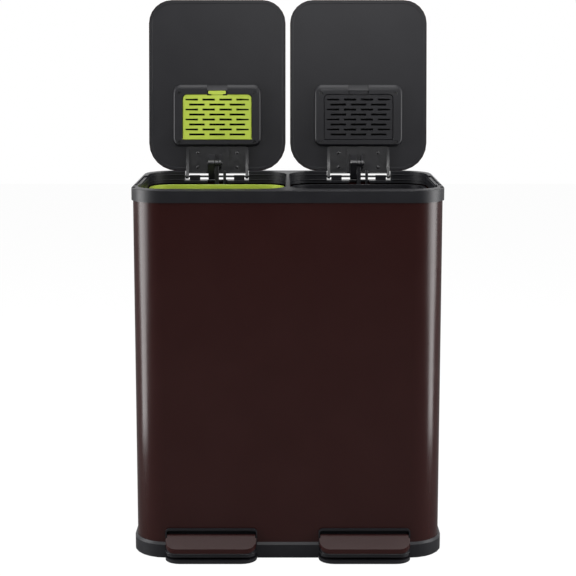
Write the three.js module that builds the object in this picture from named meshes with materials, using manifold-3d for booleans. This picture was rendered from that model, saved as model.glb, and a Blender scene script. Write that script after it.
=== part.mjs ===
// Double pedal bin: a steel body with a plastic rim and base, two inner buckets, and two hinged lids,
// each opened by its own pedal through a lever and a push rod behind the bucket.
// Millimetres, +Z up. The origin is on the floor under the middle of the body, and the front faces -Y.
// It stands as photographed: both lids open, both pedals down.

import * as THREE from "three";
import { mergeVertices } from "three/addons/utils/BufferGeometryUtils.js";
import Module from "manifold-3d";

const wasm = await Module();
wasm.setup();

// ---------------------------------------------------------------- driving dimensions

const rad = THREE.MathUtils.degToRad;
const fit = 0.3; // gap between pieces that seat on each other
const arcSteps = 6; // facets in a quarter round

// steel body
const bodyWidth = 538;
const bodyDepth = 346;
const bodyCorner = 55;
const sheet = 1;

// plastic rim
const rimTop = 650; // height of the rim above the floor
const rimHeight = 21.5;
const rimProud = 2.7; // how far the rim stands out from the steel
const rimWall = 3;
const rimEdge = 2; // rounding of the rim's outer top edge
const sideLand = 10; // width of the rim's top face at the sides
const frontLand = 27;
const rearLand = 30;
const centreBar = 5;
const openingCorner = 45;
const lipWidth = 4; // raised outer lip along the sides
const lipStep = 2.5;

// plastic base
const baseHeight = 28;
const baseChamfer = 4;
const baseProud = 4.5;
const baseWall = 3;
const groove = 16; // depth of the groove that the steel stands in
const platform = 60; // height of the floor that the buckets stand on
const ribInset = 43;
const ribY = bodyDepth / 2 - ribInset; // cross ribs, front and rear
const footRadius = 12;
const footHeight = 3;
const footInset = 44;
const footX = bodyWidth / 2 - footInset;
const padRadius = 15; // flat pad under the middle
const padHeight = 4;

// pedal bay, one under each lid
const pedalX = bodyWidth / 4; // middle of each bay and pedal from the bin's middle
const bayHalf = 78.4; // half the width of the opening
const bayTop = 50; // height of the opening
const bayCorner = 5;
const bayBorder = 2; // border of the opening at its sides
const bayHead = 3.2; // border of the opening at its top
const lipReach = 29.5; // how far the toe lip stands out from the base
const lipHeight = 6;
const bayFloor = 3; // plate under the pedal, back from the toe lip
const bayFloorLength = 133;
const bayFloorEnd = bayFloorLength - bodyDepth / 2;
const lipCorner = 27;

// buckets
const bucketRim = 628; // height of the bucket's rim
const bucketWall = 2;
const bucketFlange = 5;
const bucketDrop = 8; // depth of the flange's turned-down edge
const bucketTaper = 9; // how much narrower each side is at the bottom
const bucketCorner = 40;
const bucketGap = 2.5; // between the bucket's rim and the rim opening
const bucketBack = 18.5; // space behind the bucket for the linkage
const gripLength = 92;
const gripDrop = 26;

// lids
const lidWidth = 264.2;
const lidInner = 4.4; // from the bin's middle to each lid
const lidX = lidInner + lidWidth / 2; // middle of each lid and of its mechanism
const lidRearCorner = 54;
const lidFrontCorner = 45;
const lidHeight = 14.5;
const lidEdge = 4; // rounding of the lid's top edge
const lidSkin = 1;
const lidTray = 2.5;
const lidInset = 1.6; // steel edge left visible round the tray
const lidGap = 1.5; // between the closed lid and the rim
const lidSetback = 11; // from the hinge axis to the lid's rear edge
const lidFrontInset = 0.4; // from the rim's front face to the closed lid's front edge
const lidOpen = 97; // degrees from closed to open

// hinge
const hingeDrop = 10.7; // the axis below the rim's top
const hingeInset = 10; // the axis in from the rim's rear face
const pinRadius = 2;
const pinPlay = 0.3;
const notchHalf = 61.5;
const notchDepth = 17.5;
const lugX = 42.7;
const lugWidth = 20;
const lugDepth = 10;
const earX = 57.5;
const earWidth = 5.5;
const earRadius = 4.6;
const bracketLength = 50;
const bracketPlate = 2.2;
const knuckleRadius = 6.3;

// rod lever on the bracket
const leverReach = 28.5; // from the hinge axis to the rod pin
const leverUp = 112; // degrees of the rod pin above the rear horizontal, lid open
const leverEye = 6.5;
const leverInner = 4.4; // cheek faces beside the rod
const leverLeft = 16.4;
const leverRight = 8.4;

// push rod
const rodWidth = 7.5;
const rodDepth = 5;
const rodInset = 23;
const rodFootY = bodyDepth / 2 - rodInset;
const rodFootRadius = 5;

// soft-close damper beside the rod
const damperX = 15;
const damperInset = 18;
const damperY = bodyDepth / 2 - damperInset;
const plungerRadius = 2.8;
const damperRadius = 5.5;
const damperLength = 62;
const plungerTop = 1.5; // above the rim's top when the lid is open

// channel that keeps the rod apart from the bucket
const channelLeft = 16;
const channelRight = 26;
const channelInset = 41.5;
const channelFront = bodyDepth / 2 - channelInset; // inner face of its front wall
const channelWall = 2;
const channelTop = 612;
const channelFlange = 9;

// deodoriser box under each lid
const filterWidth = 169;
const filterLength = 117;
const filterDepth = 11;
const filterStart = 59.8; // from the hinge axis to the box
const filterCorner = 14;
const doorWidth = 133;
const doorLength = 87;
const doorStart = 71;
const doorCorner = 8;
const doorHingeCorner = 1.5;
const doorThick = 2.6;
const doorSink = 1.2;
const doorPlay = 0.8;
const doorPinRadius = 1.3;
const doorPinReach = 2.4;
const slotRows = 8;
const slotPitch = 9.6;
const slotHeight = 3;
const tabWidth = 34;
const tabLength = 7;
const tabNeck = 22;
const tabDip = 2; // depth of the dip in the door's edge beside the tab
const tabPlay = 3; // gap beside the tab
const frameBevel = [ // insets of the box's sides and far edge at each height above its face
  [0, 2.6, 8],
  [1.4, 0.9, 4],
  [5, 0, 0],
];
const padThick = 5;
const screwInset = 12.2; // from the box's sides
const screwLow = 6; // from the box's edge beside the hinge
const screwHigh = 17; // from the box's far edge
const screwRadius = 3.2;
const screwHead = 2;

// pedals
const axleSetback = 33; // from the steel's front face
const axleHeight = 15;
const axleRadius = 4;
const hubRadius = 8;
const laneHalf = 42; // inner half width between the ribs that hold the axle
const leverWidth = 34;
const leverSheet = 2.5;
const leverFlange = 8;
const pedalHalf = 79.4;
const pedalNeck = 77.2; // half width of its rear part, which moves inside the bay
const pedalShoulder = 10; // from the steel's front face to the full width
const pedalGap = 3; // from the steel's front face to the pedal's rear edge
const pedalReach = 32; // and to its front edge
const pedalBackY = bodyDepth / 2 + pedalGap;
const pedalBackZ = 42.8;
const pedalFrontY = bodyDepth / 2 + pedalReach;
const pedalFrontZ = 26;
const pedalFace = 8; // height of the steel cover's front edge
const pedalBottom = 10.3;
const pedalCorner = 18;
const coverSheet = 1.2;

// bumpers
const bumperRadius = 3;
const bumperHeight = 1.2;
const bumperY = -86;
const bumperPitch = 40;
const lipFront = -70; // where the raised lip's inner step begins and ends
const lipRear = 75;

// ---------------------------------------------------------------- places worked out from them

const rimWidth = bodyWidth + 2 * rimProud;
const rimDepth = bodyDepth + 2 * rimProud;
const rimCorner = bodyCorner + rimProud;
const rimBottom = rimTop - rimHeight;
const hingeZ = rimTop - hingeDrop;
const hingeY = rimDepth / 2 - hingeInset;
const notchFloor = rimTop - notchDepth;
const openingFront = -rimDepth / 2 + frontLand;
const openingRear = rimDepth / 2 - rearLand;
const openingInner = centreBar / 2;
const openingOuter = rimWidth / 2 - sideLand;
const shellTop = rimTop - rimWall - 3;
const shellBottom = baseHeight - groove + fit;
const frontFace = bodyDepth / 2; // distance of the steel's front face from the middle
const axleY = -(frontFace - axleSetback);
const undersideZ = hingeDrop + lidGap; // closed lid's underside above the hinge axis
const rodPinY = -leverReach * Math.cos(rad(leverUp + lidOpen - 180));
const rodPinZ = -leverReach * Math.sin(rad(leverUp + lidOpen - 180));
const openPinY = hingeY + leverReach * Math.cos(rad(leverUp));
const openPinZ = hingeZ + leverReach * Math.sin(rad(leverUp));
const rearArm = rodFootY - axleY;
const leverRise = Math.asin((leverReach * Math.sin(rad(leverUp)) - rodPinZ) / rearArm);
const downAngle = rad(-1.3); // rear arm's slope with the lid closed
const armAngle = downAngle + leverRise;
const footSeat = axleHeight + rearArm * Math.tan(armAngle) + 3; // top of the lever under the rod
const doorPinY = -(doorStart + doorPinRadius);
const doorPinZ = undersideZ - filterDepth + doorSink + doorPinRadius;

// ---------------------------------------------------------------- shape helpers

// A three.js geometry as a manifold solid.
function solid(geometry) {
  const bare = geometry.clone();
  bare.deleteAttribute("normal");
  bare.deleteAttribute("uv");
  const merged = mergeVertices(bare, 1e-4);
  return new wasm.Manifold(
    new wasm.Mesh({
      numProp: 3,
      vertProperties: new Float32Array(merged.attributes.position.array),
      triVerts: new Uint32Array(merged.index.array),
    }),
  );
}

const join = (first, ...others) => others.reduce((sum, other) => sum.add(other), first);
const cut = (first, ...others) => others.reduce((rest, other) => rest.subtract(other), first);

// A manifold solid as a named mesh in a group.
function place(group, name, body, material) {
  const data = body.getMesh();
  const geometry = new THREE.BufferGeometry();
  const positions = new Float32Array(data.vertProperties);
  geometry.setAttribute("position", new THREE.BufferAttribute(positions, 3));
  geometry.setIndex(new THREE.BufferAttribute(new Uint32Array(data.triVerts), 1));
  geometry.computeVertexNormals();
  const mesh = new THREE.Mesh(geometry, material.clone());
  mesh.name = name;
  group.add(mesh);
  return mesh;
}

// Points round a rectangle from (x0, y0) to (x1, y1), counterclockwise, with its corner radii in the
// order front right, rear right, rear left, front left.
function outline(x0, y0, x1, y1, radii, steps = arcSteps) {
  const corners = [
    [x1, y0, -1, 1, -90],
    [x1, y1, -1, -1, 0],
    [x0, y1, 1, -1, 90],
    [x0, y0, 1, 1, 180],
  ];
  return corners.flatMap(([x, y, inX, inY, start], i) => {
    const r = Array.isArray(radii) ? radii[i] : radii;
    return Array.from({ length: steps + 1 }, (_, k) => {
      const a = rad(start + (90 * k) / steps);
      return new THREE.Vector2(x + inX * r + r * Math.cos(a), y + inY * r + r * Math.sin(a));
    });
  });
}

const centred = (width, depth, radius) =>
  outline(-width / 2, -depth / 2, width / 2, depth / 2, radius);

// A flat outline raised from z0 to z1.
function prism(points, z0, z1) {
  const shape = new THREE.Shape(points);
  const geometry = new THREE.ExtrudeGeometry(shape, { depth: z1 - z0, bevelEnabled: false });
  return solid(geometry.translate(0, 0, z0));
}

// Outlines with as many points each, joined one above the other.
function loft(sections) {
  const count = sections[0][0].length;
  const positions = sections.flatMap(([points, z]) => points.flatMap((p) => [p.x, p.y, z]));
  const faces = [];
  for (let s = 0; s + 1 < sections.length; s++) {
    for (let i = 0; i < count; i++) {
      const a = s * count + i;
      const b = s * count + ((i + 1) % count);
      faces.push(a, b, b + count, a, b + count, a + count);
    }
  }
  const last = (sections.length - 1) * count;
  for (const [a, b, c] of THREE.ShapeUtils.triangulateShape(sections[0][0], [])) faces.push(a, c, b);
  for (const [a, b, c] of THREE.ShapeUtils.triangulateShape(sections.at(-1)[0], [])) {
    faces.push(last + a, last + b, last + c);
  }
  const geometry = new THREE.BufferGeometry();
  geometry.setAttribute("position", new THREE.Float32BufferAttribute(positions, 3));
  geometry.setIndex(faces);
  return solid(geometry);
}

// A profile of (y, z) points carried along X from x0 to x1.
function sideways(points, x0, x1) {
  const shape = new THREE.Shape(points.map(([y, z]) => new THREE.Vector2(y, z)));
  const geometry = new THREE.ExtrudeGeometry(shape, { depth: x1 - x0, bevelEnabled: false });
  geometry.applyMatrix4(new THREE.Matrix4().set(0, 0, 1, x0, 1, 0, 0, 0, 0, 1, 0, 0, 0, 0, 0, 1));
  return solid(geometry);
}

function block(x0, x1, y0, y1, z0, z1) {
  const geometry = new THREE.BoxGeometry(x1 - x0, y1 - y0, z1 - z0);
  return solid(geometry.translate((x0 + x1) / 2, (y0 + y1) / 2, (z0 + z1) / 2));
}

function rodAlongX(radius, x0, x1, y, z, sides = 16) {
  const geometry = new THREE.CylinderGeometry(radius, radius, x1 - x0, sides);
  return solid(geometry.rotateZ(Math.PI / 2).translate((x0 + x1) / 2, y, z));
}

function disc(radius, z0, z1, x, y, sides = 16) {
  const geometry = new THREE.CylinderGeometry(radius, radius, z1 - z0, sides);
  return solid(geometry.rotateX(Math.PI / 2).translate(x, y, (z0 + z1) / 2));
}

// ---------------------------------------------------------------- materials

const finish = (color, roughness, metalness) =>
  new THREE.MeshStandardMaterial({ color, roughness, metalness });
const brownSteel = finish(0x2e1a19, 0.38, 0.6);
const blackPlastic = finish(0x27262a, 0.5, 0);
const greenPlastic = finish(0xaabe32, 0.45, 0);
const rubber = finish(0x161616, 0.9, 0);
const zincSteel = finish(0xb8b8bc, 0.35, 1);
const blackSteel = finish(0x1b1b1d, 0.45, 0.7);
const carbonFelt = finish(0x0e0e0e, 1, 0);

const bin = new THREE.Group();
const sides = [
  { name: "left", x: -lidX, bayX: -pedalX, bucket: greenPlastic, door: greenPlastic },
  { name: "right", x: lidX, bayX: pedalX, bucket: blackPlastic, door: blackPlastic },
];

// ---------------------------------------------------------------- steel body

// Opening of a pedal bay through the front, with round top corners.
function bayCut(x, grow, y0, y1, z0) {
  const half = bayHalf + grow;
  const radii = [0.01, bayCorner, bayCorner, 0.01];
  const points = outline(x - half, z0 - 20, x + half, bayTop + grow, radii, 4);
  const shape = new THREE.Shape(points);
  const geometry = new THREE.ExtrudeGeometry(shape, { depth: y1 - y0, bevelEnabled: false });
  geometry.rotateX(Math.PI / 2).translate(0, y1, 0);
  return cut(solid(geometry), block(x - half - 1, x + half + 1, y0 - 1, y1 + 1, z0 - 40, z0));
}

// The notch in the rear of the rim that a lid's hinge sits in.
const notchBox = (x, grow, y0, z0) =>
  block(x - notchHalf - grow, x + notchHalf + grow, y0, rimDepth, z0, rimTop + 50);

const shellOuter = prism(centred(bodyWidth, bodyDepth, bodyCorner), shellBottom, shellTop);
const shellInner = prism(
  centred(bodyWidth - 2 * sheet, bodyDepth - 2 * sheet, bodyCorner - sheet),
  shellBottom - 1,
  shellTop + 1,
);
const bayRoof = 2; // thickness of the bay's roof where it passes the steel
const bayMargin = 1; // how much larger the steel's cut-out is than the bay

// The roof of a pedal bay, between the base's face and its tub.
function roofBlock(x, grow, y0, y1) {
  const half = bayHalf - 6 + grow;
  return block(x - half, x + half, y0, y1, bayTop - grow, bayTop + bayRoof + grow);
}
place(
  bin,
  "outer_shell",
  cut(
    shellOuter,
    shellInner,
    ...sides.map(({ x }) => notchBox(x, rimWall + fit, frontFace / 2, notchFloor - rimWall - fit)),
    ...sides.map(({ bayX }) => bayCut(bayX, bayMargin, -frontFace - 10, -frontFace + 10, 0)),
    ...sides.map(({ bayX }) => roofBlock(bayX, fit, -frontFace - 10, -frontFace + 10)),
  ),
  brownSteel,
);

// ---------------------------------------------------------------- rim

// Outline of one opening in the rim, grown outwards by a margin.
function opening(side, grow) {
  const inner = openingInner - grow;
  const outer = openingOuter + grow;
  const [x0, x1] = side.x < 0 ? [-outer, -inner] : [inner, outer];
  return outline(x0, openingFront - grow, x1, openingRear + grow, openingCorner + grow);
}

function makeRim() {
  const block0 = loft([
    [centred(rimWidth, rimDepth, rimCorner), rimBottom],
    [centred(rimWidth, rimDepth, rimCorner), rimTop - rimEdge],
    [centred(rimWidth - 1.2, rimDepth - 1.2, rimCorner - 0.6), rimTop - 0.6],
    [centred(rimWidth - 2 * rimEdge, rimDepth - 2 * rimEdge, rimCorner - rimEdge), rimTop],
  ]);
  const skirtInset = rimProud - fit;
  const hollow = prism(
    centred(rimWidth - 2 * skirtInset, rimDepth - 2 * skirtInset, rimCorner - skirtInset),
    rimBottom - 1,
    rimTop - rimWall,
  );
  const collars = sides.map((side) => prism(opening(side, rimWall), rimBottom, rimTop - rimWall));
  const bar = block(-openingInner, openingInner, openingFront - 1, openingRear + 1, rimBottom, rimTop - 1);
  const openings = sides.map((side) => prism(opening(side, 0), rimBottom - 2, rimTop + 1));
  const channels = cut(hollow, ...collars);
  // A step runs inside the raised lip along each outer side.
  const steps = sides.map(({ x }) => {
    const edge = rimWidth / 2 - lipWidth;
    const [x0, x1] = x < 0 ? [-edge, -edge + 20] : [edge - 20, edge];
    return prism(outline(x0, lipFront, x1, lipRear, 3), rimTop - lipStep, rimTop + 1);
  });
  let rim = cut(join(cut(block0, channels), bar), ...openings, ...steps);
  for (const { x } of sides) {
    const housing = block(
      x - notchHalf - rimWall,
      x + notchHalf + rimWall,
      openingRear,
      rimDepth / 2 - rimProud,
      notchFloor - rimWall,
      rimTop - 1,
    );
    rim = cut(join(rim, housing), notchBox(x, 0, openingRear - 5, notchFloor));
    for (const lug of [-lugX, lugX]) rim = join(rim, makeLug(x + lug));
    // The rod, its lever and the damper pass a slot in the notch's floor.
    const slotRight = damperX + plungerRadius + 2.5;
    rim = cut(
      rim,
      block(x - leverLeft - 2, x + slotRight, openingRear - 5, hingeY, rimBottom - 2, notchFloor + 1),
    );
  }
  return rim;
}

// A cradle that the hinge pin snaps into from above.
function makeLug(x) {
  const top = hingeZ + pinRadius + 0.1;
  const profile = block(
    x - lugWidth / 2,
    x + lugWidth / 2,
    hingeY - lugDepth / 2,
    hingeY + lugDepth / 2,
    notchFloor - 1,
    top,
  );
  const seat = rodAlongX(pinRadius + pinPlay, x - lugWidth, x + lugWidth, hingeY, hingeZ, 24);
  const mouth = block(x - lugWidth, x + lugWidth, hingeY - 1.6, hingeY + 1.6, hingeZ, top + 1);
  return cut(profile, seat, mouth);
}
place(bin, "top_rim", makeRim(), blackPlastic);

for (const { name, x } of sides) {
  place(
    bin,
    `hinge_pin_${name}`,
    rodAlongX(pinRadius, x - notchHalf + fit, x + notchHalf - fit, hingeY, hingeZ, 12),
    blackSteel,
  );
}

// Two rubber bumpers under each lid's front half.
const bumperX = rimWidth / 2 - lipWidth / 2 - bumperRadius;
for (const { name, x } of sides) {
  for (const [end, y] of [["front", bumperY - bumperPitch], ["mid", bumperY]]) {
    const at = Math.sign(x) * bumperX;
    const bumper = disc(bumperRadius, rimTop, rimTop + bumperHeight, at, y, 16);
    place(bin, `lid_bumper_${name}_${end}`, bumper, rubber);
  }
}

// ---------------------------------------------------------------- base

const baseWidth = bodyWidth + 2 * baseProud;
const baseDepth = bodyDepth + 2 * baseProud;
const innerWidth = bodyWidth - 2 * (sheet + fit);
const innerDepth = bodyDepth - 2 * (sheet + fit);
const innerCorner = bodyCorner - sheet - fit;
const laneRib = laneHalf + baseWall;
const slotFront = channelFront + 0.5;
const slotRear = rodFootY + 14;
const rodSlot = 9; // half width of the slot that the rod passes

function makeBase() {
  const chamferProud = baseProud - baseChamfer;
  const ring = loft([
    [centred(baseWidth - 3, baseDepth - 3, bodyCorner + baseProud - 1.5), 0],
    [centred(baseWidth, baseDepth, bodyCorner + baseProud), 1.5],
    [centred(baseWidth, baseDepth, bodyCorner + baseProud), baseHeight - baseChamfer],
    [
      centred(bodyWidth + 2 * chamferProud, bodyDepth + 2 * chamferProud, bodyCorner + chamferProud),
      baseHeight,
    ],
  ]);
  const tub = prism(centred(innerWidth, innerDepth, innerCorner), 0, platform);
  const slot = cut(
    prism(
      centred(bodyWidth + 2 * fit, bodyDepth + 2 * fit, bodyCorner + fit),
      baseHeight - groove,
      platform + 1,
    ),
    prism(centred(innerWidth, innerDepth, innerCorner), 0, platform + 2),
  );
  const hollowWidth = innerWidth - 2 * baseWall;
  const hollowDepth = innerDepth - 2 * baseWall;
  const hollow = prism(centred(hollowWidth, hollowDepth, innerCorner - baseWall), -1, platform - baseWall);
  let base = cut(join(ring, tub), slot, hollow);

  // Ribs under the platform: one along the middle, a pair beside each pedal lever, and cross ribs.
  const halfY = hollowDepth / 2 + 1;
  const halfX = hollowWidth / 2 + 1;
  const ribTop = platform - baseWall + 1;
  const ribs = [block(-baseWall / 2, baseWall / 2, -halfY, halfY, 0, ribTop)];
  for (const { bayX: x } of sides) {
    ribs.push(block(x - laneRib, x - laneHalf, -halfY, halfY, 0, ribTop));
    ribs.push(block(x + laneHalf, x + laneRib, -halfY, halfY, 0, ribTop));
  }
  const spans = [
    [-halfX, -pedalX - laneHalf],
    [-pedalX + laneHalf, pedalX - laneHalf],
    [pedalX + laneHalf, halfX],
  ];
  for (const y of [-ribY, ribY]) {
    for (const [x0, x1] of spans) {
      ribs.push(block(x0, x1, y - baseWall / 2, y + baseWall / 2, 0, ribTop));
    }
  }
  const [midStart, midEnd] = spans[1];
  ribs.push(block(midStart, midEnd, -baseWall / 2, baseWall / 2, 0, ribTop));
  ribs.push(disc(padRadius, 0, padHeight, 0, 0));
  base = join(base, ...ribs);

  // Pedal bays: arch, toe lip and axle holes.
  const outerFace = -(frontFace + baseProud);
  for (const { x: rodX, bayX: x } of sides) {
    const arch = archPiece(x, outerFace);
    const lip = prism(
      outline(
        x - bayHalf - bayBorder,
        outerFace - lipReach,
        x + bayHalf + bayBorder,
        outerFace + baseProud + 8,
        [lipCorner, 0.01, 0.01, lipCorner],
      ),
      0,
      lipHeight,
    );
    const roof = roofBlock(x, 0, outerFace + 1, -innerDepth / 2 + 1);
    base = join(base, arch, roof);
    base = cut(base, bayCut(x, 0, outerFace - 5, -innerDepth / 2 + baseWall + 1, lipHeight));
    const floorHalf = bayHalf - 5;
    const floor = block(x - floorHalf, x + floorHalf, outerFace + 2, bayFloorEnd, 0, bayFloor);
    const feetFront = -ribY - footRadius - baseWall - 2;
    const threshold = block(x - bayHalf - 1, x + bayHalf + 1, outerFace + 2, feetFront, 0, bayFloor);
    base = join(base, lip, floor, threshold);
    const hole = axleRadius + fit;
    base = cut(base, rodAlongX(hole, x - laneRib - 1, x + laneRib + 1, axleY, axleHeight, 20));
    // The rod comes down to the lever through a slot in the platform.
    const [z0, z1] = [platform - baseWall - 1, platform + 1];
    base = cut(base, block(rodX - rodSlot, rodX + rodSlot, slotFront, slotRear, z0, z1));
  }

  // Corner bosses hold the rubber feet.
  for (const [x, y] of footPlaces()) {
    base = join(base, disc(footRadius + baseWall, 0, footHeight + fit + baseWall, x, y));
    base = cut(base, disc(footRadius + fit, -1, footHeight + fit, x, y));
  }
  return base;
}

// The raised border round a pedal bay, outside the steel.
function archPiece(x, outerFace) {
  const half = bayHalf + bayBorder;
  const top = bayTop + bayHead;
  const corner = bayCorner + bayBorder;
  const bottom = baseHeight - baseChamfer - 6;
  const shape = new THREE.Shape(outline(x - half, bottom, x + half, top, [0.01, corner, corner, 0.01], 5));
  const depth = baseProud - fit;
  const geometry = new THREE.ExtrudeGeometry(shape, { depth, bevelEnabled: false });
  return solid(geometry.rotateX(Math.PI / 2).translate(0, outerFace + depth, 0));
}

function footPlaces() {
  return [-footX, footX].flatMap((x) => [-ribY, ribY].map((y) => [x, y]));
}
place(bin, "base", makeBase(), blackPlastic);

for (const [x, y] of footPlaces()) {
  const name = `rubber_foot_${x < 0 ? "left" : "right"}_${y < 0 ? "front" : "rear"}`;
  place(bin, name, disc(footRadius, 0, footHeight, x, y), rubber);
}

// ---------------------------------------------------------------- buckets

function makeBucket({ x }) {
  const inner = openingInner + bucketGap;
  const outer = openingOuter - bucketGap;
  const [x0, x1] = x < 0 ? [-outer, -inner] : [inner, outer];
  const y0 = openingFront + bucketGap;
  const y1 = openingRear - bucketBack;
  const ring = (grow, radius) => outline(x0 - grow, y0 - grow, x1 + grow, y1 + grow, radius);
  const foot = platform + fit;
  const top = ring(-bucketFlange, bucketCorner - bucketFlange);
  const bottom = ring(-bucketFlange - bucketTaper, bucketCorner - bucketFlange);
  const rounded = ring(-bucketFlange - bucketTaper - 6, bucketCorner - bucketFlange - 6);
  const innerTop = ring(-bucketFlange - bucketWall, bucketCorner - bucketFlange - bucketWall);
  const innerBottom = ring(-bucketFlange - bucketTaper - bucketWall, bucketCorner - bucketFlange - bucketWall);
  const wall = loft([
    [rounded, foot],
    [bottom, foot + 6],
    [top, bucketRim - 1],
  ]);
  const flange = cut(
    loft([
      [ring(0, bucketCorner), bucketRim - bucketDrop],
      [ring(0, bucketCorner), bucketRim - 1.2],
      [ring(-1.2, bucketCorner - 1.2), bucketRim],
    ]),
    prism(ring(-bucketWall, bucketCorner - bucketWall), bucketRim - bucketDrop - 1, bucketRim - bucketWall),
  );
  const innerRounded = ring(
    -bucketFlange - bucketTaper - bucketWall - 6,
    bucketCorner - bucketFlange - bucketWall - 6,
  );
  const cavity = loft([
    [innerRounded, foot + bucketWall],
    [innerBottom, foot + bucketWall + 6],
    [innerTop, bucketRim + 1],
  ]);
  // A finger grip is let into the flange's turned-down edge on each side.
  const grips = [x0, x1].map((edge) =>
    block(edge - 4, edge + 4, -gripLength / 2, gripLength / 2, bucketRim - gripDrop, bucketRim - 4),
  );
  return cut(join(wall, cut(flange, ...grips)), cavity);
}
for (const side of sides) place(bin, `bucket_${side.name}`, makeBucket(side), side.bucket);

// ---------------------------------------------------------------- rear channel and damper

const rearInside = bodyDepth / 2 - sheet;
for (const { name, x } of sides) {
  const left = x - channelLeft;
  const right = x + channelRight;
  const wall = channelWall;
  const foot = platform + fit;
  const outer = block(left - wall, right + wall, channelFront - wall, rearInside - fit, foot, channelTop);
  const cavity = block(left, right, channelFront, rearInside, platform, channelTop + 1);
  const flanges = block(
    left - wall - channelFlange,
    right + wall + channelFlange,
    rearInside - fit - wall,
    rearInside - fit,
    foot,
    channelTop,
  );
  const clipHalf = damperRadius + wall;
  const clipZ = channelTop - 40;
  const clipBlock = (z0, z1) =>
    block(x + damperX - clipHalf, right + 1, damperY - clipHalf, damperY + clipHalf, z0, z1);
  const clip = cut(
    clipBlock(clipZ, clipZ + 12),
    disc(damperRadius + fit, clipZ - 1, clipZ + 13, x + damperX, damperY, 20),
  );
  const stop = clipBlock(clipZ - 16, clipZ - 13);
  const openBack = block(left, right, rearInside - fit - wall - 1, rearInside, platform, channelTop + 1);
  place(
    bin,
    `rod_channel_${name}`,
    join(cut(join(outer, flanges), cavity, openBack), clip, stop),
    blackPlastic,
  );

  const damperBottom = clipZ - 13 + fit;
  const damperTop = damperBottom + damperLength;
  const barrel = cut(
    disc(damperRadius, damperBottom, damperTop, x + damperX, damperY, 20),
    disc(plungerRadius + 0.4, damperBottom + 4, damperTop + 1, x + damperX, damperY, 20),
  );
  place(bin, `damper_body_${name}`, barrel, blackSteel);
  const plunger = join(
    disc(plungerRadius, damperBottom + 18, rimTop + plungerTop - 1, x + damperX, damperY, 16),
    disc(plungerRadius - 0.8, rimTop + plungerTop - 1.5, rimTop + plungerTop, x + damperX, damperY, 16),
  );
  place(bin, `damper_plunger_${name}`, plunger, blackSteel);
}

// ---------------------------------------------------------------- push rod

// The rod hangs from the lever's pin, and its round foot stands on the pedal lever.
for (const { name, x } of sides) {
  const footZ = footSeat + 0.5 + rodFootRadius;
  const lean = Math.atan2(openPinY - rodFootY, openPinZ - footZ);
  const length = Math.hypot(openPinY - rodFootY, openPinZ - footZ);
  const half = rodWidth / 2;
  const shaft = block(-half, half, -rodDepth / 2, rodDepth / 2, -length, 0);
  const eye = rodAlongX(leverEye - 0.5, -half, half, 0, 0);
  const foot = rodAlongX(rodFootRadius, -half, half, 0, -length);
  const hole = rodAlongX(pinRadius + pinPlay, -half - 1, half + 1, 0, 0, 20);
  const rod = place(bin, `push_rod_${name}`, cut(join(shaft, eye, foot), hole), blackSteel);
  rod.position.set(x, openPinY, openPinZ);
  rod.rotation.x = -lean;
}

// ---------------------------------------------------------------- lids

// Everything on a lid is drawn closed, from the hinge axis, and the group is turned open.
function rounded(width, start, end, radiiFront, radiiRear, inset = 0) {
  return outline(-width / 2 + inset, -end + inset, width / 2 - inset, -start - inset, [
    radiiFront - inset,
    radiiRear - inset,
    radiiRear - inset,
    radiiFront - inset,
  ]);
}
const lidEnd = hingeY + rimDepth / 2 - lidFrontInset;
const lidOutline = (inset) => rounded(lidWidth, lidSetback, lidEnd, lidFrontCorner, lidRearCorner, inset);

function makeSkin() {
  const top = undersideZ + lidHeight;
  const outer = loft([
    [lidOutline(0), undersideZ],
    [lidOutline(0), top - lidEdge],
    [lidOutline(lidEdge * 0.3), top - lidEdge * 0.3],
    [lidOutline(lidEdge), top],
  ]);
  const inner = loft([
    [lidOutline(lidSkin), undersideZ - 1],
    [lidOutline(lidSkin), top - lidEdge],
    [lidOutline(lidEdge * 0.3 + lidSkin), top - lidEdge * 0.3 - lidSkin],
    [lidOutline(lidEdge + 0.3), top - lidSkin],
  ]);
  return cut(outer, inner);
}

function makeTray() {
  const floor = prism(lidOutline(lidInset), undersideZ, undersideZ + lidTray);
  const wallTop = undersideZ + lidHeight - lidEdge - 1;
  const wall = cut(
    prism(lidOutline(lidInset), undersideZ, wallTop),
    prism(lidOutline(lidInset + 2), undersideZ - 1, wallTop + 1),
  );
  // A shallow step inside the border, as on the moulding's visible face.
  const panel = prism(lidOutline(lidInset + 5), undersideZ - 1, undersideZ + 0.6);
  const ribs = [-70, 0, 70].map((x) =>
    block(x - 1, x + 1, -lidEnd + 6, -lidSetback - 6, undersideZ + 1, wallTop),
  );
  return cut(join(floor, wall, ...ribs), panel);
}
const panelZ = undersideZ + 0.6; // the tray's visible face

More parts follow.
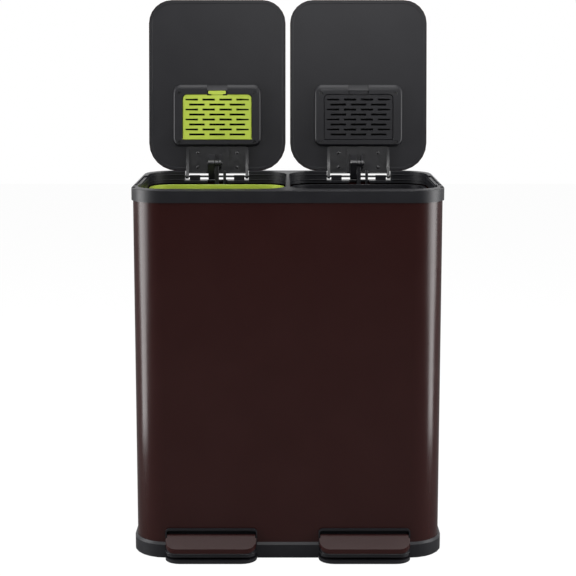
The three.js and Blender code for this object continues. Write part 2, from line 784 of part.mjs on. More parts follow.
// Pressed plate with two ears on the pin and a lever for the rod.
function makeBracket() {
  const plateTop = undersideZ - fit;
  const plateBottom = plateTop - bracketPlate;
  const start = 8;
  const end = start + bracketLength;
  const half = earX + earWidth / 2;
  let plate = prism(outline(-half, -end, half, -start, [6, 1, 1, 6], 3), plateBottom, plateTop);
  // Stiffening bead along each edge and a raised middle.
  const beads = [-half, half - earWidth].map((x0) =>
    block(x0, x0 + earWidth, -end + 7, -start, plateBottom - 2.5, plateBottom + 1),
  );
  const middleHalf = leverLeft + 6;
  const middle = prism(
    outline(-middleHalf, -end + 4, middleHalf, -start, [6, 1, 1, 6], 3),
    plateBottom - 1.5,
    plateTop,
  );
  plate = join(plate, ...beads, middle);
  for (const x of [-earX, earX]) {
    const x0 = x - earWidth / 2;
    const x1 = x + earWidth / 2;
    const web = sideways(
      [[-earRadius, 0], [earRadius, 0], [-start + 2, plateTop - 0.2], [-start - 22, plateTop - 0.2]],
      x0,
      x1,
    );
    plate = join(plate, web, rodAlongX(earRadius, x0, x1, 0, 0, 14));
  }
  // The lever's left cheek runs from the pin to the rod, and its right cheek carries the rod pin alone.
  const cheekEnd = -44; // where the cheeks leave the plate
  const leftCheek = sideways(
    [
      [0, -knuckleRadius],
      [rodPinY, rodPinZ - leverEye],
      [rodPinY - leverEye, rodPinZ],
      [cheekEnd, plateTop - 0.2],
      [-start, plateTop - 0.2],
      [knuckleRadius - 1, 1],
    ],
    -leverLeft,
    -leverInner,
  );
  const rightCheek = sideways(
    [
      [rodPinY + 2, rodPinZ - leverEye + 0.5],
      [rodPinY - leverEye, rodPinZ],
      [cheekEnd, plateTop - 0.2],
      [-20, plateTop - 0.2],
      [rodPinY + leverEye, rodPinZ],
    ],
    leverInner,
    leverRight,
  );
  const knuckle = rodAlongX(knuckleRadius, -leverLeft, leverInner - 0.8, 0, 0, 20);
  const eyes = [
    rodAlongX(leverEye, -leverLeft, -leverInner, rodPinY, rodPinZ),
    rodAlongX(leverEye, leverInner, leverRight, rodPinY, rodPinZ),
  ];
  const heel = sideways(
    [[-start, plateTop - 0.2], [-start - 8, plateTop - 0.2], [-2, -2], [4, 3]],
    -leverLeft,
    leverInner - 0.8,
  );
  const bodySolid = join(plate, leftCheek, rightCheek, knuckle, heel, ...eyes);
  const hole = pinRadius + pinPlay;
  return cut(
    bodySolid,
    rodAlongX(hole, -half - 1, half + 1, 0, 0, 16),
    rodAlongX(hole, -leverLeft - 1, leverRight + 1, rodPinY, rodPinZ, 16),
  );
}

// Box that screws to the lid and holds the carbon pad behind its door.
const frameTop = panelZ - fit;
const frameFace = undersideZ - filterDepth;
const filterEnd = filterStart + filterLength;
const screwPlaces = [-1, 1].flatMap((sx) =>
  [filterStart + screwLow, filterEnd - screwHigh].map((s) => [sx * (filterWidth / 2 - screwInset), -s]),
);
const doorEnd = doorStart + doorLength;

function doorOutline(grow) {
  const corner = doorCorner + grow;
  const hingeCorner = Math.max(doorHingeCorner + grow, 0.4);
  const half = doorWidth / 2 + grow;
  return outline(-half, -doorEnd - grow, half, -doorStart + grow, [corner, hingeCorner, hingeCorner, corner]);
}

function makeFrame() {
  const half = filterWidth / 2;
  const ringAt = (side, far) =>
    outline(-half + side, -filterEnd + far, half - side, -filterStart - side, filterCorner - side);
  const outer = loft([
    ...frameBevel.map(([height, side, far]) => [ringAt(side, far), frameFace + height]),
    [ringAt(0, 0), frameTop],
  ]);
  const shelf = doorSink + doorThick + 2 * fit; // the door shuts against a ledge inside the opening
  const mouth = prism(doorOutline(doorPlay), frameFace - 1, frameFace + shelf);
  const well = prism(doorOutline(-2.5), frameFace + shelf - 1, frameTop + 1);
  const pocketHalf = tabWidth / 2 + tabPlay;
  const pocketEnd = -doorEnd - tabLength - doorPlay;
  const tabPocket = prism(
    outline(-pocketHalf, pocketEnd, pocketHalf, -doorEnd + 2, 1.5, 2),
    frameFace - 1,
    frameFace + shelf,
  );
  // A scoop slopes in from the far edge to the tab.
  const fingerNotch = sideways(
    [
      [pocketEnd + 0.5, frameFace - 1],
      [-filterEnd - 1, frameFace - 1],
      [-filterEnd - 1, frameFace + 5.5],
      [-filterEnd + 3, frameFace + 5.5],
      [pocketEnd + 0.5, frameFace + 1],
    ],
    -pocketHalf,
    pocketHalf,
  );
  const screwHoles = screwPlaces.flatMap(([x, y]) => [
    disc(screwRadius + fit, frameFace - 1, frameFace + 5, x, y, 10),
    disc(1.9, frameFace, frameTop + 1, x, y, 8),
  ]);
  const pinSockets = [-1, 1].map((sx) => {
    const inner = sx * (doorWidth / 2 - doorCorner);
    const outerX = sx * (doorWidth / 2 + doorPinReach + fit);
    const [x0, x1] = [Math.min(inner, outerX), Math.max(inner, outerX)];
    return rodAlongX(doorPinRadius + fit, x0, x1, doorPinY, doorPinZ, 12);
  });
  return cut(outer, mouth, well, tabPocket, fingerNotch, ...screwHoles, ...pinSockets);
}

// Slotted grille with hinge pins at one edge and a snap tab at the other.
function makeDoor() {
  const face = frameFace + doorSink;
  const back = face + doorThick;
  let door = loft([
    [doorOutline(-0.8), face],
    [doorOutline(0), face + 0.8],
    [doorOutline(0), back],
  ]);
  const pinEnd = doorWidth / 2 + doorPinReach;
  const pins = rodAlongX(doorPinRadius, -pinEnd, pinEnd, doorPinY, doorPinZ, 12);
  const dipHalf = tabWidth / 2 + tabPlay;
  const dip = prism(
    outline(-dipHalf, -doorEnd - 5, dipHalf, -doorEnd + tabDip, [1, 1.9, 1.9, 1], 3),
    face - 1,
    back + 1,
  );
  const neck = block(-tabNeck / 2, tabNeck / 2, -doorEnd - 3, -doorEnd + 4, back - 1.2, back);
  const tab = prism(
    rounded(tabWidth, doorEnd + 0.7, doorEnd + tabLength, 2, 2),
    face - 0.4,
    back,
  );
  door = join(cut(door, dip), pins, neck, tab);
  const slots = [];
  for (let row = 0; row < slotRows; row++) {
    const s = doorEnd - (doorLength - (slotRows - 1) * slotPitch) / 2 - row * slotPitch;
    const count = row % 2 ? 3 : 4;
    const length = row % 2 ? 30 : 24;
    const pitch = row % 2 ? 39 : 32.7;
    for (let k = 0; k < count; k++) {
      const x = (k - (count - 1) / 2) * pitch;
      const [y0, y1] = [-s - slotHeight / 2, -s + slotHeight / 2];
      slots.push(block(x - length / 2, x + length / 2, y0, y1, face - 2, back + 2));
    }
  }
  return cut(door, ...slots);
}

function makeScrew([x, y]) {
  const seat = frameFace + 5;
  return join(
    disc(screwRadius, seat - screwHead, seat - 0.1, x, y, 10),
    disc(1.5, seat - 0.5, panelZ - fit, x, y, 8),
  );
}

for (const { name, x, door } of sides) {
  const lid = new THREE.Group();
  lid.position.set(x, hingeY, hingeZ);
  lid.rotation.x = rad(-lidOpen);
  bin.add(lid);
  place(lid, `lid_skin_${name}`, makeSkin(), brownSteel);
  place(lid, `lid_tray_${name}`, makeTray(), blackPlastic);
  place(lid, `hinge_bracket_${name}`, makeBracket(), blackSteel);
  const crossPin = join(
    rodAlongX(pinRadius, -leverLeft - 0.8, leverRight + 2, rodPinY, rodPinZ),
    rodAlongX(pinRadius + 1.4, leverRight + 0.5, leverRight + 2.4, rodPinY, rodPinZ),
  );
  place(lid, `rod_pin_${name}`, crossPin, blackSteel);
  place(lid, `filter_frame_${name}`, makeFrame(), blackPlastic);
  const padBottom = frameTop - padThick - fit;
  place(lid, `carbon_pad_${name}`, prism(doorOutline(-3), padBottom, frameTop - fit), carbonFelt);
  place(lid, `filter_door_${name}`, makeDoor(), door);
  screwPlaces.forEach((at, i) => place(lid, `frame_screw_${name}_${i + 1}`, makeScrew(at), blackSteel));
}

// ---------------------------------------------------------------- pedals

// The pedal is a bent steel channel on an axle, with a plastic tread and a steel cover on its front end.
const slope = (pedalBackZ - pedalFrontZ) / (pedalFrontY - pedalBackY);
const treadTop = (y) => pedalBackZ - slope * (-pedalBackY - y) - coverSheet - fit;

// The pedal's sloping wedge, from its bottom up to a plane above which nothing is left. Its full width
// stays in front of the bay, whose sides it hides, and a narrower part reaches in.
function wedge(inset, lower, drop) {
  const front = pedalHalf - inset;
  const rear = pedalNeck - inset;
  const shoulder = -frontFace - pedalShoulder - inset;
  const r = pedalCorner - inset;
  const body = join(
    prism(outline(-front, -pedalFrontY + inset, front, shoulder, [r, 1, 1, r]), lower, pedalBackZ + 5),
    prism(outline(-rear, shoulder - 5, rear, -pedalBackY, 1), lower, pedalBackZ + 5),
  );
  const above = sideways(
    [
      [-pedalFrontY - 40, pedalFrontZ - 40 * slope - drop],
      [-pedalBackY + 20, pedalBackZ + 20 * slope - drop],
      [-pedalBackY + 20, pedalBackZ + 60],
      [-pedalFrontY - 40, pedalBackZ + 60],
    ],
    -200,
    200,
  );
  return cut(body, above);
}

function makeCover() {
  const outer = wedge(0, pedalFrontZ - pedalFace, 0);
  const lowerCut = sideways(
    [
      [-pedalFrontY - 40, pedalFrontZ - pedalFace - 40 * slope],
      [-pedalFrontY - 40, -20],
      [-pedalBackY + 40, -20],
      [-pedalBackY + 40, pedalBackZ - pedalFace + 40 * slope],
    ],
    -200,
    200,
  );
  const inner = wedge(coverSheet, 0, coverSheet);
  const half = pedalNeck - coverSheet;
  const backTop = pedalBackZ - coverSheet - 2.5;
  const openBack = block(-half, half, -pedalBackY - 4, -pedalBackY + 4, 0, backTop);
  return cut(outer, inner, lowerCut, openBack);
}

function makeTread() {
  const body = wedge(coverSheet + fit, pedalBottom, coverSheet + fit);
  const tongue = sideways(leverProfile(-fit, -fit, fit), -leverWidth / 2 - fit, leverWidth / 2 + fit);
  return cut(body, tongue);
}

// Side profile of the lever: level tongue, hub and rising rear arm.
const tongueTop = 21;
const tongueBottom = 14;
const armY = (t) => axleY + rearArm * t;
const armZ = (t) => axleHeight + rearArm * t * Math.tan(armAngle);
function leverProfile(lift, drop, reach = 0) {
  const tip = -pedalFrontY + 13 - reach;
  return [
    [tip, tongueBottom + drop],
    [axleY - 10, tongueBottom - 6 + drop],
    [axleY, tongueBottom - 8 + drop],
    [armY(1.03), armZ(1.03) + 3 - leverFlange + drop],
    [armY(1.03), armZ(1.03) + 3 - lift],
    [armY(0.05), armZ(0.05) + 8 - lift],
    [axleY - 10, tongueTop - lift],
    [tip, tongueTop - lift],
  ];
}

function makeLever() {
  const half = leverWidth / 2;
  const outer = sideways(leverProfile(0, 0), -half, half);
  const inner = sideways(leverProfile(leverSheet, -20), -half + leverSheet, half - leverSheet);
  const hub = rodAlongX(hubRadius, -laneHalf + 1, laneHalf - 1, axleY, axleHeight);
  const hole = rodAlongX(axleRadius + pinPlay, -laneHalf, laneHalf, axleY, axleHeight, 20);
  return cut(join(cut(outer, inner), hub), hole);
}

for (const { name, bayX } of sides) {
  const pedal = new THREE.Group();
  pedal.position.x = bayX;
  bin.add(pedal);
  const axle = rodAlongX(axleRadius, -laneRib, laneRib, axleY, axleHeight);
  place(pedal, `pedal_axle_${name}`, axle, zincSteel);
  place(pedal, `pedal_lever_${name}`, makeLever(), blackSteel);
  place(pedal, `pedal_tread_${name}`, makeTread(), blackPlastic);
  place(pedal, `pedal_cover_${name}`, makeCover(), brownSteel);
}

export default bin;
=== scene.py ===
import math

import bmesh
import bpy
from mathutils import Matrix, Vector


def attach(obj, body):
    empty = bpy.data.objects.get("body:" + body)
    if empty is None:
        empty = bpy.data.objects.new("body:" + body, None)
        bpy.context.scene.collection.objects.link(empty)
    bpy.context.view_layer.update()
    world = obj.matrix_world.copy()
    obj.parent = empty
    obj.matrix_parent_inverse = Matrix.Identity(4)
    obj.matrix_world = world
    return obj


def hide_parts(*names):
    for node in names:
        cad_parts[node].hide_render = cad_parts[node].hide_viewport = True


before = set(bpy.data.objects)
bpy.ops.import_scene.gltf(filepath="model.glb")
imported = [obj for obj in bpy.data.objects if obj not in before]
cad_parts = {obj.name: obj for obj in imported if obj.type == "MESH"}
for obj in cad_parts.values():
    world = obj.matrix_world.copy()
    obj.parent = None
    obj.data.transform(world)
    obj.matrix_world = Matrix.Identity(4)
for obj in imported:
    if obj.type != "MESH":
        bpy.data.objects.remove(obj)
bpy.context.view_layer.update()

# ---------------------------------------------------------------- steel body
# A wrapper of 1 mm sheet with rounded corners, bent round and seam welded down the middle of its back,
# then powder coated dark brown. It stands in a groove of the base and under the skirt of the rim.

mm = 0.001
SIDES = {"left": -1, "right": 1}
body_back = 173 * mm


def colour(code):
    """A hex colour as linear red, green, blue and alpha."""
    parts = [int(code[i : i + 2], 16) / 255 for i in (0, 2, 4)]
    return [p / 12.92 if p <= 0.04045 else ((p + 0.055) / 1.055) ** 2.4 for p in parts] + [1]


def feed(tree, target, inputs):
    """Sets the inputs of a node. Each is a value, or the output that it is linked to."""
    for socket, value in inputs.items():
        if isinstance(value, bpy.types.NodeSocket):
            tree.links.new(value, target.inputs[socket])
        else:
            target.inputs[socket].default_value = value


def node(tree, kind, inputs, **settings):
    """Adds a node with its settings and its inputs."""
    added = tree.nodes.new(kind)
    for name, value in settings.items():
        setattr(added, name, value)
    feed(tree, added, inputs)
    return added


def finish(name, tint, rough, grain, specular=0.5, metallic=0.0, detail=(2, 2, 3), stretch=(1, 1, 1)):
    """A material whose colour, roughness and surface each follow a noise of their own.

    tint is the noise's size and two hex colours, rough its size and two roughnesses, and grain its size and
    depth. detail is the three noises' detail in turn, and stretch is their scale along X.
    """
    material = bpy.data.materials.new(name)
    material.use_nodes = True
    tree = material.node_tree
    place = node(tree, "ShaderNodeTexCoord", {}).outputs["Object"]
    noises = []
    for size, fine, along in zip((tint[0], rough[0], grain[0]), detail, stretch):
        spread = node(tree, "ShaderNodeMapping", {"Vector": place, "Scale": (along, 1, 1)})
        inputs = {"Vector": spread.outputs["Vector"], "Scale": 1 / size, "Detail": fine}
        noises.append(node(tree, "ShaderNodeTexNoise", inputs).outputs["Fac"])
    ranges = []
    for noise, low, high in ((noises[0], 0, 1), (noises[1], rough[1], rough[2])):
        inputs = {"Value": noise, "From Min": 0.3, "From Max": 0.7, "To Min": low, "To Max": high}
        ranges.append(node(tree, "ShaderNodeMapRange", inputs).outputs["Result"])
    colours = {0: ranges[0], 6: colour(tint[1]), 7: colour(tint[2])}
    mixed = node(tree, "ShaderNodeMix", colours, data_type="RGBA").outputs[2]
    bumps = node(tree, "ShaderNodeBump", {"Height": noises[2], "Distance": grain[1], "Strength": 1.0})
    looks = {"Base Color": mixed, "Roughness": ranges[1], "Normal": bumps.outputs["Normal"]}
    looks |= {"Specular IOR Level": specular, "Metallic": metallic}
    feed(tree, tree.nodes["Principled BSDF"], looks)
    return material


# Satin powder coat: a dark brown with soft streaks of light, and the faint orange peel of baked powder.
brown_coat = finish(
    "brown_powder_coat",
    tint=(90 * mm, "240f0e", "261110"),
    rough=(50 * mm, 0.21, 0.24),
    grain=(1.2 * mm, 0.02 * mm),
    specular=0.2,
)


def copy_of(cad_node, name):
    """The CAD node's mesh as a new object, with its doubles merged and its flat faces joined up."""
    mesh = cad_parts[cad_node].data.copy()
    piece = bpy.data.objects.new(name, mesh)
    bpy.context.scene.collection.objects.link(piece)
    bm = bmesh.new()
    bm.from_mesh(mesh)
    bmesh.ops.remove_doubles(bm, verts=bm.verts, dist=2e-6)
    bmesh.ops.dissolve_limit(bm, angle_limit=math.radians(0.6), verts=bm.verts, edges=bm.edges)
    bm.to_mesh(mesh)
    bm.free()
    return piece


def soften(piece, width, segments=2, sharp=32):
    """Rounds the piece's edges by width, and shades what bends by less than sharp degrees as smooth."""
    limit = math.radians(sharp)
    if width:
        bevel = piece.modifiers.new("edges", "BEVEL")
        bevel.width = width
        bevel.segments = segments
        bevel.limit_method = "ANGLE"
        bevel.angle_limit = limit
        bevel.use_clamp_overlap = True
        bevel.harden_normals = False
    for face in piece.data.polygons:
        face.use_smooth = True
    bm = bmesh.new()
    bm.from_mesh(piece.data)
    for edge in bm.edges:
        edge.smooth = edge.calc_face_angle(math.pi) < limit
    bm.to_mesh(piece.data)
    bm.free()
    weigh = piece.modifiers.new("normals", "WEIGHTED_NORMAL")
    weigh.keep_sharp = True
    return piece


def fit_out(piece, material, body):
    """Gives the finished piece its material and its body."""
    piece.data.materials.clear()
    piece.data.materials.append(material)
    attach(piece, body)


def dress(cad_node, material, body, width=0.0, segments=2):
    """Stands a copy with rounded edges and a finish in for a CAD node."""
    piece = soften(copy_of(cad_node, cad_node + "_made"), width, segments)
    fit_out(piece, material, body)
    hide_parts(cad_node)


def made(name, bm, material, body, width=0.0, sharp=32):
    """A new piece from a finished bmesh."""
    mesh = bpy.data.meshes.new(name)
    bm.to_mesh(mesh)
    bm.free()
    piece = bpy.data.objects.new(name, mesh)
    bpy.context.scene.collection.objects.link(piece)
    fit_out(soften(piece, width, sharp=sharp), material, body)


def grow_out(bm, steps, about=(0, 0, 0)):
    """Extrudes a capped ring. Each step is a move of its end, and the end's scale about a point."""
    end = bm.faces[:]
    for number, (move, size) in enumerate(steps):
        grown = bmesh.ops.extrude_face_region(bm, geom=end)["geom"]
        if number:
            bmesh.ops.delete(bm, geom=end, context="FACES")
        end = [g for g in grown if isinstance(g, bmesh.types.BMFace)]
        corners = list({v for f in end for v in f.verts})
        bmesh.ops.translate(bm, vec=move, verts=corners)
        bmesh.ops.scale(bm, vec=size, space=Matrix.Translation(about).inverted(), verts=corners)
    bmesh.ops.recalc_face_normals(bm, faces=bm.faces)


dress("outer_shell", brown_coat, "root")

seam_radius, seam_foot, seam_pitch, seam_pairs, seam_swell = 1.3 * mm, 30 * mm, 4 * mm, 74, 1.07
bead = bmesh.new()
bmesh.ops.create_circle(bead, cap_ends=True, radius=seam_radius, segments=12)
bmesh.ops.scale(bead, vec=(1, 0.45, 1), verts=bead.verts)
bmesh.ops.translate(bead, vec=(0, body_back, seam_foot), verts=bead.verts)
ripples = [((0, 0, seam_pitch), (r, r, 1)) for r in (1 / seam_swell, seam_swell) * seam_pairs]
grow_out(bead, ripples, about=(0, body_back, 0))
made("weld_seam", bead, brown_coat, "root", sharp=60)

# ---------------------------------------------------------------- rim
# A black collar moulded in one piece, which caps the steel and guides both buckets. Two thin ledges run
# round each opening, broken at the notch of the lid's hinge.

# Moulded polypropylene: near black and softly matt, with a fine spark-eroded grain.
black_plastic = finish(
    "black_polypropylene",
    tint=(60 * mm, "18181b", "1b1b1e"),
    rough=(30 * mm, 0.37, 0.41),
    grain=(0.6 * mm, 0.02 * mm),
    specular=0.18,
)
dress("top_rim", black_plastic, "root", 0.5 * mm)


def flat(half_width, half_length, centre=(0, 0, 0)):
    """A flat rectangle, lying level, in metres."""
    bm = bmesh.new()
    bmesh.ops.create_grid(bm, x_segments=1, y_segments=1, size=1)
    bmesh.ops.scale(bm, vec=(half_width, half_length, 1), verts=bm.verts)
    bmesh.ops.translate(bm, vec=centre, verts=bm.verts)
    return bm


def round_corners(bm, corners, radius, steps):
    bmesh.ops.bevel(
        bm, geom=corners, offset=radius, segments=steps, profile=0.5, affect="VERTICES", material=-1
    )


def thicken(bm, move):
    """Pulls a flat shape out into a slab."""
    pulled = bmesh.ops.extrude_face_region(bm, geom=bm.faces[:])["geom"]
    bmesh.ops.translate(bm, vec=move, verts=[v for v in pulled if isinstance(v, bmesh.types.BMVert)])
    bmesh.ops.recalc_face_normals(bm, faces=bm.faces)


lid_middle, notch_half = 136.5 * mm, 61.8 * mm
opening_half_width, opening_half_depth, opening_corner = 129.6 * mm, 147.2 * mm, 45 * mm
opening_x, opening_y = 132.1 * mm, -1.5 * mm
ledge_reach, ledge_thickness = 1.5 * mm, 1.4 * mm
ledge_heights = {"upper": 643.6 * mm, "lower": 634.2 * mm}
for side, sign in SIDES.items():
    for level, height in ledge_heights.items():
        ledge = flat(opening_half_width, opening_half_depth, (sign * opening_x, opening_y, height))
        round_corners(ledge, ledge.verts[:], opening_corner, 12)
        inner = ledge.faces[:]
        bmesh.ops.inset_region(
            ledge, faces=inner, thickness=ledge_reach, use_even_offset=True, use_boundary=True
        )
        bmesh.ops.delete(ledge, geom=inner, context="FACES")
        for end in (-notch_half, notch_half):
            shape = ledge.verts[:] + ledge.edges[:] + ledge.faces[:]
            cut_at = (sign * lid_middle + end, 0, 0)
            bmesh.ops.bisect_plane(ledge, geom=shape, plane_co=cut_at, plane_no=(1, 0, 0))
        in_notch = []
        for face in ledge.faces:
            middle = face.calc_center_median()
            if middle.y > 0 and abs(middle.x - sign * lid_middle) < notch_half:
                in_notch.append(face)
        bmesh.ops.delete(ledge, geom=in_notch, context="FACES")
        thicken(ledge, (0, 0, ledge_thickness))
        made(f"rim_ledge_{side}_{level}", ledge, black_plastic, "root", 0.3 * mm)

# ---------------------------------------------------------------- base
# A black tray moulded with its platform, ribs and pedal bays. The steel stands in its groove. A baffle
# closes the head of each bay, and a sill the gap at its inner side.

dress("base", black_plastic, "root", 0.5 * mm)

pedal_middle = 134.5 * mm
sill_width, sill_length, sill_height = 6 * mm, 32 * mm, 1.5 * mm
sill_inset, sill_y = 76.4 * mm, -131 * mm
baffle_half_width, baffle_half_height, baffle_corner, baffle_thickness = 76 * mm, 11 * mm, 4 * mm, 1.2 * mm
baffle_y, baffle_z = -167.4 * mm, 45 * mm
for side, sign in SIDES.items():
    sill = bmesh.new()
    bmesh.ops.create_cube(sill, size=1)
    bmesh.ops.scale(sill, vec=(sill_width, sill_length, sill_height), verts=sill.verts)
    sill_centre = (sign * (pedal_middle - sill_inset), sill_y, sill_height / 2)
    bmesh.ops.translate(sill, vec=sill_centre, verts=sill.verts)
    made(f"bay_sill_{side}", sill, black_plastic, "root", 0.2 * mm)

    baffle = flat(baffle_half_width, baffle_half_height)
    round_corners(baffle, baffle.verts[:], baffle_corner, 4)
    bmesh.ops.rotate(baffle, matrix=Matrix.Rotation(math.radians(90), 3, "X"), verts=baffle.verts)
    bmesh.ops.translate(baffle, vec=(sign * pedal_middle, baffle_y, baffle_z), verts=baffle.verts)
    thicken(baffle, (0, baffle_thickness, 0))
    made(f"bay_baffle_{side}", baffle, black_plastic, "root", 0.3 * mm)

# ---------------------------------------------------------------- rubber
# Moulded rubber feet and lid bumpers, pressed into their seats.

# Rubber: almost black and dull all over, with no highlight to speak of.
soft_rubber = finish(
    "black_rubber",
    tint=(10 * mm, "101010", "171717"),
    rough=(4 * mm, 0.75, 0.9),
    grain=(0.8 * mm, 0.05 * mm),
    specular=0.2,
    detail=(2, 2, 2),
)
for side in SIDES:
    for end in ("front", "rear"):
        dress(f"rubber_foot_{side}_{end}", soft_rubber, "root", 0.6 * mm)
    for end in ("front", "mid"):
        dress(f"lid_bumper_{side}_{end}", soft_rubber, "root", 0.4 * mm)

# ---------------------------------------------------------------- buckets
# Tapered polypropylene buckets with a turned-down flange, one leaf green and one black.

# Unfilled polypropylene: a fresh leaf green, glossier than the black, with light along its edges.
green_plastic = finish(
    "green_polypropylene",
    tint=(80 * mm, "9aab3e", "a4b544"),
    rough=(30 * mm, 0.2, 0.27),
    grain=(0.7 * mm, 0.02 * mm),
)
dress("bucket_left", green_plastic, "root", 0.8 * mm)
dress("bucket_right", black_plastic, "root", 0.8 * mm)

# ---------------------------------------------------------------- hinge pins, rods and dampers
# Drawn pins, stamped push rods and slim dampers, all of plated steel. A plastic channel guards each rod
# behind its bucket and clips the damper.

# Black plating: a dark sheen, a little glossier and less even than the plastic beside it.
black_steel = finish(
    "black_plated_steel",
    tint=(30 * mm, "141416", "1b1b1e"),
    rough=(10 * mm, 0.28, 0.4),
    grain=(0.9 * mm, 0.02 * mm),
    specular=0.4,
    detail=(2, 2, 2),
)
for side in SIDES:
    dress(f"rod_channel_{side}", black_plastic, "root", 0.4 * mm)
    dress(f"damper_body_{side}", black_steel, "root", 0.4 * mm)
    dress(f"damper_plunger_{side}", black_steel, f"damper_plunger_{side}", 0.3 * mm)
    dress(f"hinge_pin_{side}", black_steel, "root", 0.4 * mm)
    dress(f"push_rod_{side}", black_steel, f"push_rod_{side}", 0.5 * mm)
    dress(f"rod_pin_{side}", black_steel, f"lid_{side}", 0.4 * mm)

# ---------------------------------------------------------------- lids
# Each lid is a drawn steel skin over a black tray. A plated bracket, riveted under the tray, holds it on
# the hinge pin, and its rear edge is rolled into a hem.

hinge_y, hinge_z, lid_open = 165.7 * mm, 639.3 * mm, 97
rivet_profile = [(0, -1.5), (1.2, -1.4), (2.3, -1.0), (3.0, -0.3), (3.1, 0.4), (0, 0.4)]
bracket_face = 9.7
rivet_places = [(x, y, bracket_face) for x in (-38, 38) for y in (-18, -46)]
hem_radius, hem_end, hem_half_length = 0.9 * mm, 1 * mm, 57.5 * mm
hem_swell = 1.45
hem_place = (0, -7.0, 10.7)


def turned(profile, steps=20):
    """A turned piece about Z from its radius and height at each corner, in millimetres."""
    bm = bmesh.new()
    line = [bm.verts.new((r * mm, 0, z * mm)) for r, z in profile]
    edges = [bm.edges.new(pair) for pair in zip(line, line[1:])]
    bmesh.ops.spin(bm, geom=line + edges, axis=(0, 0, 1), angle=math.tau, steps=steps, use_merge=True)
    bmesh.ops.remove_doubles(bm, verts=bm.verts, dist=1e-6)
    bmesh.ops.recalc_face_normals(bm, faces=bm.faces)
    return bm


def hung(side):
    """From the closed lid's own frame, measured from its hinge, to where the open lid stands."""
    swing = Matrix.Rotation(math.radians(-lid_open), 4, "X")
    return Matrix.Translation((SIDES[side] * lid_middle, hinge_y, hinge_z)) @ swing


def on_lid(bm, side, places):
    """Copies of a piece at places on the closed lid, in millimetres from its hinge, turned open with it."""
    shape = bm.verts[:] + bm.edges[:] + bm.faces[:]
    for place in places:
        copied = bmesh.ops.duplicate(bm, geom=shape)["geom"]
        corners = [v for v in copied if isinstance(v, bmesh.types.BMVert)]
        there = hung(side) @ Matrix.Translation(Vector(place) * mm)
        bmesh.ops.transform(bm, matrix=there, verts=corners)
    bmesh.ops.delete(bm, geom=[v for v in shape if isinstance(v, bmesh.types.BMVert)], context="VERTS")
    return bm


for side in SIDES:
    lid = f"lid_{side}"
    dress(f"lid_skin_{side}", brown_coat, lid)
    dress(f"lid_tray_{side}", black_plastic, lid, 0.4 * mm)
    dress(f"hinge_bracket_{side}", black_steel, lid, 0.4 * mm)

    rivets = on_lid(turned(rivet_profile), side, rivet_places)
    made(f"bracket_rivets_{side}", rivets, black_steel, lid)

    hem = bmesh.new()
    bmesh.ops.create_circle(hem, cap_ends=True, radius=hem_radius, segments=10)
    bmesh.ops.rotate(hem, matrix=Matrix.Rotation(math.radians(90), 3, "Y"), verts=hem.verts)
    bmesh.ops.translate(hem, vec=(-hem_half_length - hem_end, 0, 0), verts=hem.verts)
    lengths = (hem_end, 2 * hem_half_length, hem_end)
    swells = (hem_swell, 1, 1 / hem_swell)
    grow_out(hem, [((length, 0, 0), (1, swell, swell)) for length, swell in zip(lengths, swells)])
    on_lid(hem, side, [hem_place])
    made(f"bracket_hem_{side}", hem, black_steel, lid, sharp=50)

# ---------------------------------------------------------------- deodoriser boxes
# A black frame screws to the tray. A slotted door of the bucket's colour snaps shut in it and keeps a
# carbon felt pad in place.

# Carbon felt: a deep black that gives back no light, with a loose fibrous nap.
carbon_felt = finish(
    "carbon_felt",
    tint=(2 * mm, "060606", "121212"),
    rough=(3 * mm, 0.9, 1.0),
    grain=(1 * mm, 0.4 * mm),
    specular=0.05,
    detail=(4, 2, 5),
)

slot_rows, slot_pitch, first_slot, slot_reach = 8, 9.6, -148.1, 56
slot_half, slot_opened = 1.5, 0.45


def open_slots(grille, side):
    """Opens the grille's slots from 3 to 3.9 mm, row by row from the tab."""
    hang = hung(side)
    back = hang.inverted()
    for v in grille.data.vertices:
        spot = back @ v.co / mm
        for row in range(slot_rows):
            offset = spot.y - first_slot - slot_pitch * row
            if abs(spot.x) < slot_reach and abs(abs(offset) - slot_half) < 0.05:
                spot.y += math.copysign(slot_opened, offset)
                v.co = hang @ (spot * mm)


head_radius, recess_arm, recess_half, recess_depth = 3.1 * mm, 2.0 * mm, 0.4 * mm, 0.9 * mm
head_skirts = ((0.35 * mm, 1.05), (0.9 * mm, 1.0))
head_places = [(x, y, 4.25) for x in (-72.3, 72.3) for y in (-65.8, -159.8)]


def cross_head():
    """A low screw head with a cross recess, facing down."""
    bm = bmesh.new()
    bmesh.ops.create_grid(bm, x_segments=9, y_segments=9, size=head_radius)
    for v in bm.verts:
        reach = max(abs(v.co.x), abs(v.co.y))
        if reach > 0:
            v.co *= reach / v.co.length
    recess = []
    for face in bm.faces:
        middle = face.calc_center_median()
        if min(abs(middle.x), abs(middle.y)) < recess_half and middle.length < recess_arm:
            recess.append(face)
    sunk = bmesh.ops.extrude_face_region(bm, geom=recess)["geom"]
    bmesh.ops.delete(bm, geom=recess, context="FACES")
    bottom = [v for v in sunk if isinstance(v, bmesh.types.BMVert)]
    bmesh.ops.translate(bm, vec=(0, 0, recess_depth), verts=bottom)
    edges = [e for e in bm.edges if e.is_boundary]
    for drop, spread in head_skirts:
        skirt = bmesh.ops.extrude_edge_only(bm, edges=edges)["geom"]
        low = [v for v in skirt if isinstance(v, bmesh.types.BMVert)]
        edges = [e for e in skirt if isinstance(e, bmesh.types.BMEdge) and e.is_boundary]
        bmesh.ops.translate(bm, vec=(0, 0, drop), verts=low)
        bmesh.ops.scale(bm, vec=(spread, spread, 1), verts=low)
    bmesh.ops.holes_fill(bm, edges=edges)
    bmesh.ops.recalc_face_normals(bm, faces=bm.faces)
    return bm


